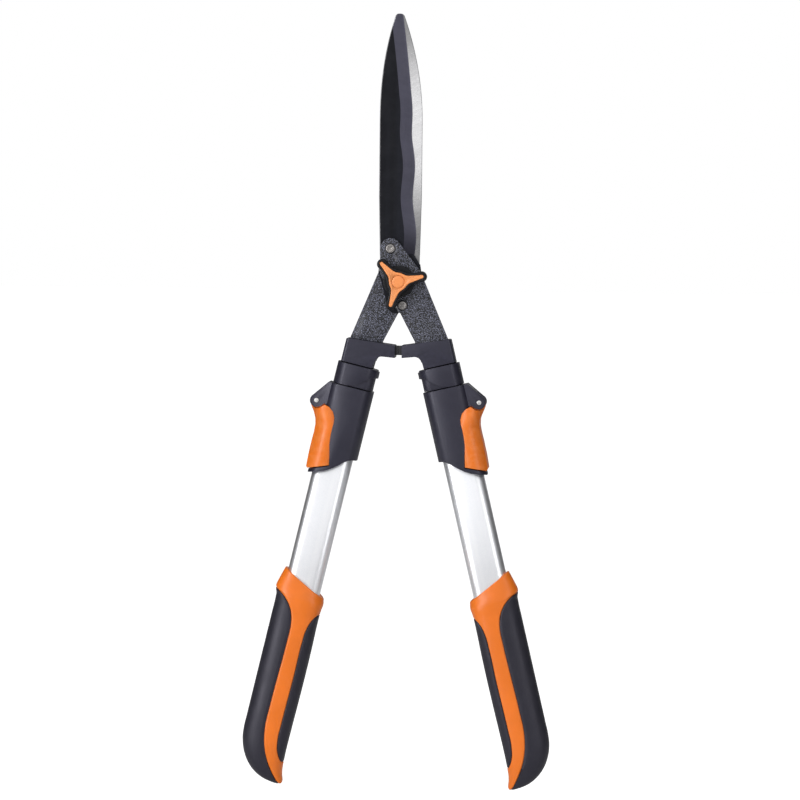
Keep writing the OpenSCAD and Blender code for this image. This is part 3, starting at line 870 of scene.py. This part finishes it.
def star(hub, arm, end, flare, reach, turn, softness=5, count=216):
    """A three-armed star whose round-ended arms widen towards its hub, evenly stepped."""
    angles = np.radians(np.arange(0, 360, 0.25))
    radii = np.full_like(angles, hub)
    centre = reach - end
    for i in range(3):
        off = (angles - turn - i * math.tau / 3 + math.pi) % math.tau - math.pi
        across = np.abs(centre * np.sin(off))
        ahead = np.cos(off) > 0
        round_end = centre * np.cos(off) + np.sqrt(np.maximum(0, end**2 - across**2))
        slant = np.abs(np.sin(off)) + flare * np.cos(off)
        side = np.minimum((arm + flare * centre) / np.maximum(slant, 1e-6), centre)
        arm_radius = np.where(across < end, np.maximum(round_end, 0), side)
        arm_radius = np.where(ahead, arm_radius, 0)
        radii = (radii**softness + arm_radius**softness) ** (1 / softness)
    outline = np.column_stack([radii * np.cos(angles), radii * np.sin(angles)])
    return even_outline(outline, count)


class SHEARS_OT_knob(bpy.types.Operator):
    """Moulds the clamping knob with its flange, its three arms, the Y-shaped insert and the centre cap"""

    bl_idname = "shears.knob"
    bl_label = "Knob"

    def execute(self, context):
        knob = context.scene.shears_knob
        place = Matrix.Translation(PIVOT)
        lowest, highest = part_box("knob_body")
        face, back = lowest.y - PIVOT.y, highest.y - PIVOT.y
        flange = back - FLANGE_THICK

        disc = front_solid(circle(FLANGE_RADIUS, 96), [(0.5 * MM, back), (0, back - 0.5 * MM)]
                           + rounded(0.9 * MM, flange, back - 1 * MM)[1:])
        disc = finished("knob_disc", disc, [finish("knob_black")], place, 35)
        arms = front_solid(star(turn=knob.turn, reach=knob.reach, **KNOB_STAR),
                           rounded(knob.rounding, face, flange + 0.3 * MM))
        arms = finished("moulded_knob_body", arms, [finish("knob_black")], place, 35)
        outline = star(turn=knob.turn, **INSERT_STAR)
        recess = front_solid(inset(outline, -INSERT_FIT), [(0, face - 2 * MM), (0, face + RECESS_DEPTH)])
        bore = front_solid(circle(KNOB_BORE, 48), [(0, -20 * MM), (0, 0)])
        cut(disc, [bore.copy()])
        cut(arms, [recess, bore])
        stands_for(joined(arms, disc), "knob_body")

        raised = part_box("knob_insert")[0].y - PIVOT.y
        insert = front_solid(outline, rounded(0.8 * MM, raised, face + RECESS_DEPTH - 0.1 * MM))
        insert = finished("moulded_knob_insert", insert, [finish("insert_orange")], place, 40)
        cut(insert, [front_solid(circle(RING_RADIUS, 64), [(0, face - 2 * MM), (0, face + 2 * MM)])])
        stands_for(insert, "knob_insert")

        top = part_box("knob_centre_cap")[0].y - PIVOT.y
        cap = front_solid(circle(CAP_RADIUS, 64),
                          [(0, face + 1 * MM)] + [(inwards, top + below) for inwards, below in CAP_DOME])
        cap = finished("moulded_knob_cap", cap, [finish("insert_orange")], place, 50)
        stands_for(cap, "knob_centre_cap")
        return {"FINISHED"}


# --- tubes -------------------------------------------------------------------------------------------


def handle_piece(name, mesh_data, material, node):
    """A piece drawn in a handle's space, moved to where the handle lies and put in place of a part."""
    mesh_data.transform(HANDLES[node.split("_")[0]])
    piece = finished(name, mesh_data, [finish(material)], Matrix.Identity(4), 50)
    stands_for(piece, node)


def oval(width, depth, height, count=20):
    """An oval ring with flat front and back, at a height in the handle's space."""
    straight, radius = (width - depth) / 2, depth / 2
    ring = []
    for side in (1, -1):
        for i in range(count + 1):
            turn = math.radians(-90 + 180 * i / count)
            ring.append((side * (straight + radius * math.cos(turn)), side * radius * math.sin(turn), height))
    return ring


def tube_mesh(width, depth, wall, top, bottom):
    """A drawn tube, open at both ends, with its rims broken."""
    rim, out = 0.3 * MM, (width, depth)
    bore = (width - 2 * wall, depth - 2 * wall)
    profile = [(out, -rim, -top), (out, 0, -top - rim), (out, 0, -bottom + rim), (out, -rim, -bottom),
               (bore, rim, -bottom), (bore, 0, -bottom + rim), (bore, 0, -top - rim), (bore, rim, -top)]
    rings = [oval(w + 2 * spread, d + 2 * spread, z) for (w, d), spread, z in profile]
    return loft(rings + rings[:1], capped=False)


class SHEARS_OT_tubes(bpy.types.Operator):
    """Draws the outer tubes and the inner tubes that slide in them"""

    bl_idname = "shears.tubes"
    bl_label = "Tubes"

    def execute(self, context):
        tubes = context.scene.shears_tubes
        bore = (tubes.width - 2 * tubes.wall, tubes.depth - 2 * tubes.wall)
        inner = [size - 2 * tubes.gap for size in bore]
        for side in SIDES:
            for kind, (width, depth) in (("outer", (tubes.width, tubes.depth)), ("inner", inner)):
                node = f"{side}_{kind}_tube"
                mesh_data = tube_mesh(width, depth, tubes.wall, *down_range(side, node))
                handle_piece(f"drawn_{node}", mesh_data, f"{kind}_tube", node)
        return {"FINISHED"}


# --- grips -------------------------------------------------------------------------------------------

# The grip's sections going down: outer edge, inner edge, and half its thickness from front to back.
GRIP_SECTIONS = mm([
    [19.4, 268.8, -20.9, 289.0, 11.4],
    [20.9, 274.2, -21.2, 290.6, 12.3],
    [22.5, 280.2, -21.6, 292.4, 13.5],
    [23.7, 285.6, -21.7, 294.6, 14.5],
    [23.3, 288.6, -21.4, 297.0, 14.8],
    [22.1, 292.0, -21.0, 299.6, 14.7],
    [21.7, 297.5, -20.8, 303.4, 14.4],
    [21.7, 310, -20.8, 314, 14.3],
    [21.7, 330, -21.2, 332, 14.3],
    [21.7, 355, -21.4, 356, 14.3],
    [21.7, 385, -21.2, 385, 14.3],
    [21.7, 408, -20.9, 406, 14.3],
    [21.7, 418, -20.8, 415, 14.3],
    [20.4, 429.1, -20.7, 424, 14.2],
    [16.6, 439.5, -20.7, 432.5, 13.7],
    [10.7, 448.4, -20.9, 440.5, 12.7],
    [2.9, 455.2, -21.4, 447.8, 11.2],
    [-6.2, 459.4, -22.5, 453.2, 9.2],
    [-14.0, 460.9, -23.6, 456.4, 7.2],
    [-19.2, 461.2, -24.0, 458.6, 5.2],
    [-21.7, 461.0, -23.7, 459.9, 3.2],
])
# The stripe's edge towards the outer pad, and its edge towards the inner pad, both going down.
STRIPE_OUTER = mm([[27, 286.5], [21, 288.7], [15.2, 291.6], [8.6, 297.5], [3.7, 305.5], [1.2, 316],
                   [0.9, 330], [1.5, 360], [2.1, 390], [1.8, 412], [-0.7, 425.3], [-5.9, 438.5],
                   [-13.4, 450.3], [-24, 464]])
STRIPE_INNER = mm([[-27, 299.4], [-20.5, 303.2], [-15.9, 310.0], [-13.5, 318.5], [-12.7, 332], [-12.8, 360],
                   [-12.2, 405], [-12.3, 420], [-15, 432.5], [-20.1, 440.3], [-27, 444.5]])
GROOVE_HALF = 0.9 * MM
PAD_CLEARANCE = 0.12 * MM
LEAST_PAD = 0.06              # angle round the section below which a pad has run out


def to_height(points):
    """Outline points [outward, down] as [outward, up]."""
    return np.column_stack([points[:, 0], -points[:, 1]])


def gap_to(point, path):
    """The distance from a point to a path."""
    starts, spans = path[:-1], np.diff(path, axis=0)
    along = np.clip(((point - starts) * spans).sum(1) / (spans**2).sum(1), 0, 1)
    return np.linalg.norm(starts + spans * along[:, None] - point, axis=1).min()


class GripSection:
    """One section across the grip, a full rounded shape between its outer and its inner edge."""

    def __init__(self, row, grips, stripes):
        outer, inner = np.array([row[0], -row[1]]), np.array([row[2], -row[3]])
        self.centre, self.half = (outer + inner) / 2, (outer - inner) / 2
        self.length = np.linalg.norm(self.half)
        self.depth = row[4]
        self.power = 2 / grips.fullness
        self.stripes = stripes
        self.groove = grips.groove
        self.outer_turn = self.turn_at(self.crossing(stripes[0], 1.0))
        self.inner_turn = self.turn_at(self.crossing(stripes[1], -1.0))

    def crossing(self, path, otherwise):
        """Where a stripe's edge crosses the section, from -1 at the inner edge to 1 at the outer one."""
        rel = path - self.centre
        side = self.half[0] * rel[:, 1] - self.half[1] * rel[:, 0]
        found = []
        for i in np.nonzero(side[:-1] * side[1:] <= 0)[0]:
            share = side[i] / (side[i] - side[i + 1])
            at = (rel[i] + (rel[i + 1] - rel[i]) * share) @ self.half / self.length**2
            if abs(at) < 1:
                found.append(at)
        return min(found, key=abs) if found else otherwise

    def turn_at(self, share):
        """The angle round the section at which its front passes a share of its half width."""
        return math.acos(math.copysign(abs(share) ** (1 / self.power), share))

    def point(self, turn, sunk=0.0, grooved=True):
        """A point on the section, 0 being the outer edge, sunk below the surface and into a groove."""
        c, s = math.cos(turn), math.sin(turn)
        a = math.copysign(abs(c) ** self.power, c)
        b = math.copysign(abs(s) ** self.power, s)
        if grooved:
            flat = self.centre + self.half * a
            near = min(gap_to(flat, path) for path in self.stripes)
            sunk = max(sunk, self.groove * max(0.0, 1 - near / GROOVE_HALF) ** 1.5)
        flat = self.centre + self.half * a * max(0.0, 1 - sunk / self.length)
        return (flat[0], -b * (self.depth - min(sunk, self.depth * 0.8)), flat[1])


def ramp(value, over):
    """A smooth step from 0 to 1."""
    t = max(0.0, min(1.0, value / over))
    return t * t * (3 - 2 * t)


# Shares of the way across a strip, closer together at its grooved ends.
STRIP = (0, 0.015, 0.035, 0.07, 0.12, 0.2, 0.3, 0.4, 0.5, 0.6, 0.7, 0.8, 0.88, 0.93, 0.965, 0.985, 1)


def across(start, end):
    return [start + (end - start) * share for share in STRIP]


def core_ring(section, pad):
    """The hard core's ring: full in the stripe, and sunk to a bed under both pads."""
    outer, inner = section.outer_turn, section.inner_turn
    outer_bed, inner_bed = pad * ramp(outer, 0.5), pad * ramp(math.pi - inner, 0.5)
    front = [section.point(t, outer_bed, False) for t in across(0, outer)]
    front += [section.point(t) for t in across(outer, inner)]
    front += [section.point(t, inner_bed, False) for t in across(inner, math.pi)]
    return front + [(x, -y, z) for x, y, z in front[-2:0:-1]]


def pad_ring(section, start, end, pad):
    """A soft pad's ring: its grooved outer surface, and its underside just above the core's bed."""
    under = max(pad - PAD_CLEARANCE, 0.3 * MM)
    top = [section.point(t) for t in across(start, end)]
    return top + [section.point(t, under, False) for t in across(end, start)]


def bore_point(turn, width, depth):
    """A point on the tube's bore in a direction round the grip."""
    straight, radius = (width - depth) / 2, depth / 2
    c, s = math.cos(turn), math.sin(turn)
    return straight * max(-1.0, min(1.0, 2 * c)) + radius * c, -radius * s


def grip_core_mesh(sections, tubes, grips, bottom):
    """The hard core with its stripe, its collar's rim and the bore for the tube."""
    rings = [core_ring(section, grips.pad) for section in sections]
    first = np.array(rings[0])
    centre = first.mean(0)
    slope = sections[0].half[1] / sections[0].half[0]

    def bore(height):
        ring = []
        for x, y, _ in first:
            turn = math.atan2(-(y - centre[1]) / sections[0].depth, (x - centre[0]) / sections[0].length)
            u, v = bore_point(turn, tubes.width, tubes.depth)
            ring.append((u, v, height(u)))
        return ring

    def rim_height(u):
        return sections[0].centre[1] + slope * (u - sections[0].centre[0]) + 0.9 * MM

    lip = [[tuple(centre + (p - centre) * (1 - shrink) + np.array([0, 0, rise])) for p in first]
           for shrink, rise in ((0.012, 0.0005), (0.04, 0.0009))]
    return loft([bore(lambda u: -bottom), bore(rim_height)] + lip[::-1] + rings)


def grip_pad_mesh(sections, pad, span):
    """A soft pad over the sections where its strip of the grip has any width."""
    spans = [(section, *span(section)) for section in sections]
    return loft([pad_ring(section, start, end, pad) for section, start, end in spans
                 if end - start > LEAST_PAD])


class SHEARS_OT_grips(bpy.types.Operator):
    """Moulds both grips: an orange core whose stripe shows between two soft pads"""

    bl_idname = "shears.grips"
    bl_label = "Grips"

    def execute(self, context):
        grips, tubes = context.scene.shears_grips, context.scene.shears_tubes
        stripes = [to_height(smooth_path(path, 1.5 * MM)) for path in (STRIPE_OUTER, STRIPE_INNER)]
        sections = [GripSection(row, grips, stripes) for row in smooth_path(GRIP_SECTIONS, 1.4 * MM)]
        spans = {"outer": lambda s: (-s.outer_turn, s.outer_turn),
                 "inner": lambda s: (s.inner_turn, math.tau - s.inner_turn)}
        for side in SIDES:
            bottom = down_range(side, f"{side}_outer_tube")[1]
            core = grip_core_mesh(sections, tubes, grips, bottom)
            handle_piece(f"moulded_{side}_grip_core", core, "orange_plastic", f"{side}_grip_core")
            for where, span in spans.items():
                node = f"{side}_grip_{where}_pad"
                handle_piece(f"soft_{node}", grip_pad_mesh(sections, grips.pad, span), "soft_grip", node)
        return {"FINISHED"}


# --- parts that keep the frame's meshes --------------------------------------------------------------


SHARP_ANGLE = 32              # in degrees; edges bent more than this are rounded and stay sharp


def smooth_group():
    """A modifier group that shades a mesh smooth except at its sharp edges."""
    tree = bpy.data.node_groups.new("Smooth by angle", "GeometryNodeTree")
    tree.interface.new_socket(name="Geometry", in_out="INPUT", socket_type="NodeSocketGeometry")
    tree.interface.new_socket(name="Geometry", in_out="OUTPUT", socket_type="NodeSocketGeometry")
    nodes = Nodes(tree)
    given, result = nodes.add("NodeGroupInput").outputs[0], nodes.add("NodeGroupOutput").inputs[0]
    plain = nodes.add("GeometryNodeRemoveAttribute", {"Geometry": given, "Name": "custom_normal"})
    faces = nodes.add("GeometryNodeSetShadeSmooth", {"Geometry": plain.outputs[0]}, domain="FACE")
    angle = nodes.add("GeometryNodeInputMeshEdgeAngle").outputs["Unsigned Angle"]
    soft = nodes.add("FunctionNodeCompare", {"A": angle, "B": math.radians(SHARP_ANGLE)},
                     operation="LESS_THAN")
    edges = nodes.add("GeometryNodeSetShadeSmooth", {"Geometry": faces.outputs[0],
                                                     "Shade Smooth": soft.outputs[0]}, domain="EDGE")
    tree.links.new(edges.outputs[0], result)
    return tree


def dress(names, material, rounding=None, segments=None):
    """Rounds the edges of parts that share a finish, shades them smooth and gives them their material."""
    general = bpy.context.scene.shears_finish
    for name in names:
        part = frame["nodes"][name]
        part.modifiers.new("weld", "WELD").merge_threshold = 1e-6
        flatten = part.modifiers.new("flatten", "DECIMATE")
        flatten.decimate_type, flatten.angle_limit = "DISSOLVE", math.radians(0.5)
        edge = part.modifiers.new("rounding", "BEVEL")
        edge.width, edge.segments = rounding or general.rounding, segments or general.segments
        edge.limit_method, edge.angle_limit = "ANGLE", math.radians(SHARP_ANGLE)
        smooth = part.modifiers.new("smooth", "NODES")
        smooth.node_group = bpy.data.node_groups.get("Smooth by angle") or smooth_group()
        part.data.materials.clear()
        part.data.materials.append(finish(material))


def both(*names):
    """The names of parts that each handle has."""
    return [f"{side}_{name}" for side in SIDES for name in names]


class SHEARS_OT_mouldings(bpy.types.Operator):
    """Finishes the black sockets, collars, liners, plugs and lock housings"""

    bl_idname = "shears.mouldings"
    bl_label = "Black mouldings"

    def execute(self, context):
        dress(both("lock_housing"), "housing_plastic", 0.8 * MM, 4)
        dress(both("neck_collar"), "housing_plastic", 0.5 * MM)
        dress(both("arm_socket"), "black_plastic", 0.8 * MM, 4)
        dress(both("neck_liner", "guide_plug"), "black_plastic", 0.5 * MM)
        dress(both("bumper", "clamp_shoe"), "bumper_rubber")
        return {"FINISHED"}


class SHEARS_OT_levers(bpy.types.Operator):
    """Finishes the orange cam levers"""

    bl_idname = "shears.levers"
    bl_label = "Lock levers"

    def execute(self, context):
        dress(both("lock_lever"), "lever_orange", 0.9 * MM, 4)
        return {"FINISHED"}


class SHEARS_OT_steel_parts(bpy.types.Operator):
    """Finishes the arm plates, the pivot bolt, the washers, the nut, the screws, the rivets and the pins"""

    bl_idname = "shears.steel_parts"
    bl_label = "Steel parts"

    def execute(self, context):
        dress(both("arm_plate"), "hammered_paint", 0.45 * MM)
        dress(["front_blade_screws", "rear_blade_screws"], "screw_steel", 0.35 * MM)
        dress(["pivot_bolt"], "zinc_steel", 0.25 * MM)
        dress(["pivot_bolt_washer", "knob_washer", "knob_nut"], "zinc_steel", 0.2 * MM, 2)
        dress(both("tang_rivet", "lever_pin"), "zinc_steel", 0.25 * MM)
        return {"FINISHED"}


# --- stage -------------------------------------------------------------------------------------------

FLOOR_DROP = 210 * MM         # below the shears at rest, so that both handles clear it fully drawn out
FLOOR_SIZE = 20
ROOM_LIGHT = 0.88
# Soft boxes: place [right, towards the front, up] from the middle of the shears, width, height, power.
SOFT_BOXES = (
    ((-1.6, 1.7, 0.1), 0.8, 2.4, 37.0),
    ((1.6, 1.7, 0.1), 0.6, 2.4, 9.0),
    ((0.6, -1.8, 0.9), 1.4, 1.4, 3.0),
    ((0.0, 1.2, 1.8), 1.2, 0.8, 3.0),
)


def sky(brightness):
    """A white backdrop for the camera, and for the shears a pale room, darker behind and to both sides."""
    world = bpy.data.worlds.new("studio")
    world.use_nodes = True
    nodes = Nodes(world.node_tree)
    world.node_tree.nodes.clear()
    parts = nodes.split(nodes.add("ShaderNodeTexCoord").outputs["Generated"])
    sideways = nodes.remap(nodes.math("ABSOLUTE", parts[0]), 0.45, 0.92, 1.0, 0.4)
    ahead = nodes.remap(parts[1], -0.9, 0.4, brightness, brightness * 0.2)
    strength = nodes.math("MULTIPLY", sideways, ahead)
    room = nodes.add("ShaderNodeBackground", {"Color": WHITE, "Strength": strength})
    backdrop = nodes.add("ShaderNodeBackground", {"Color": WHITE, "Strength": 1.0})
    seen = nodes.add("ShaderNodeLightPath").outputs["Is Camera Ray"]
    mixed = nodes.add("ShaderNodeMixShader", {0: seen, 1: room.outputs[0], 2: backdrop.outputs[0]})
    nodes.add("ShaderNodeOutputWorld", {0: mixed.outputs[0]})
    return world


class SHEARS_OT_stage(bpy.types.Operator):
    """Sets the pale floor, the soft boxes, the backdrop and the camera"""

    bl_idname = "shears.stage"
    bl_label = "Stage"

    def execute(self, context):
        stage = context.scene.shears_stage
        middle = (CAD_BOX[0] + CAD_BOX[1]) / 2
        context.scene.view_settings.view_transform = "Standard"
        context.scene.world = sky(ROOM_LIGHT)

        floor_data = bmesh.new()
        bmesh.ops.create_grid(floor_data, x_segments=8, y_segments=8, size=FLOOR_SIZE)
        floor = finished("floor", floor_data, [finish("floor_paint")],
                         Matrix.Translation((0, 0, CAD_BOX[0].z - FLOOR_DROP)))

        for place, width, height, power in SOFT_BOXES:
            light = bpy.data.lights.new("soft_box", "AREA")
            light.shape, light.size, light.size_y = "RECTANGLE", width, height
            light.energy = power * stage.brightness
            lamp = bpy.data.objects.new("soft_box", light)
            lamp.location = middle + Vector((place[0], -place[1], place[2]))
            lamp.rotation_euler = (middle - lamp.location).to_track_quat("-Z", "Y").to_euler()
            context.scene.collection.objects.link(lamp)

        camera = bpy.data.cameras.new("camera")
        camera.lens = camera.sensor_width * stage.distance / stage.width
        camera.clip_end = 100
        eye = bpy.data.objects.new("camera", camera)
        a, e = stage.azimuth, stage.elevation
        back = Vector((math.sin(a) * math.cos(e), -math.cos(a) * math.cos(e), math.sin(e)))
        eye.location = PIVOT + Vector(stage.aim) + back * stage.distance
        eye.rotation_mode = "QUATERNION"
        eye.rotation_quaternion = (-back).to_track_quat("-Z", "Y") @ Quaternion((0, 0, 1), stage.roll)
        context.scene.collection.objects.link(eye)
        context.scene.camera = eye
        return {"FINISHED"}


# --- panel and registration --------------------------------------------------------------------------

GROUP_PROPERTIES = {
    "shears_blades": ShearsBlades, "shears_knob": ShearsKnob, "shears_tubes": ShearsTubes,
    "shears_grips": ShearsGrips, "shears_finish": ShearsFinish, "shears_stage": ShearsStage,
}
OPERATORS = (SHEARS_OT_stage, SHEARS_OT_blades, SHEARS_OT_knob, SHEARS_OT_tubes, SHEARS_OT_grips,
             SHEARS_OT_mouldings, SHEARS_OT_levers, SHEARS_OT_steel_parts)


class VIEW3D_PT_shears(bpy.types.Panel):
    """Lists the steps and the sizes of the shears"""

    bl_label = "Hedge shears"
    bl_idname = "VIEW3D_PT_shears"
    bl_space_type = "VIEW_3D"
    bl_region_type = "UI"
    bl_category = "Shears"

    def draw(self, context):
        for operator in OPERATORS:
            self.layout.operator(operator.bl_idname)
        for name in GROUP_PROPERTIES:
            box = self.layout.box()
            group = getattr(context.scene, name)
            for prop in group.bl_rna.properties:
                if prop.identifier not in {"rna_type", "name"}:
                    box.prop(group, prop.identifier)


def register():
    for name, group in GROUP_PROPERTIES.items():
        bpy.utils.register_class(group)
        setattr(bpy.types.Scene, name, PointerProperty(type=group))
    for item in OPERATORS + (VIEW3D_PT_shears,):
        bpy.utils.register_class(item)


def unregister():
    for item in (VIEW3D_PT_shears,) + OPERATORS:
        bpy.utils.unregister_class(item)
    for name, group in GROUP_PROPERTIES.items():
        delattr(bpy.types.Scene, name)
        bpy.utils.unregister_class(group)


def main():
    register()
    bpy.ops.shears.stage()
    bpy.ops.shears.blades()
    bpy.ops.shears.knob()
    bpy.ops.shears.tubes()
    bpy.ops.shears.grips()
    bpy.ops.shears.mouldings()
    bpy.ops.shears.levers()
    bpy.ops.shears.steel_parts()


if __name__ == "__main__":
    main()
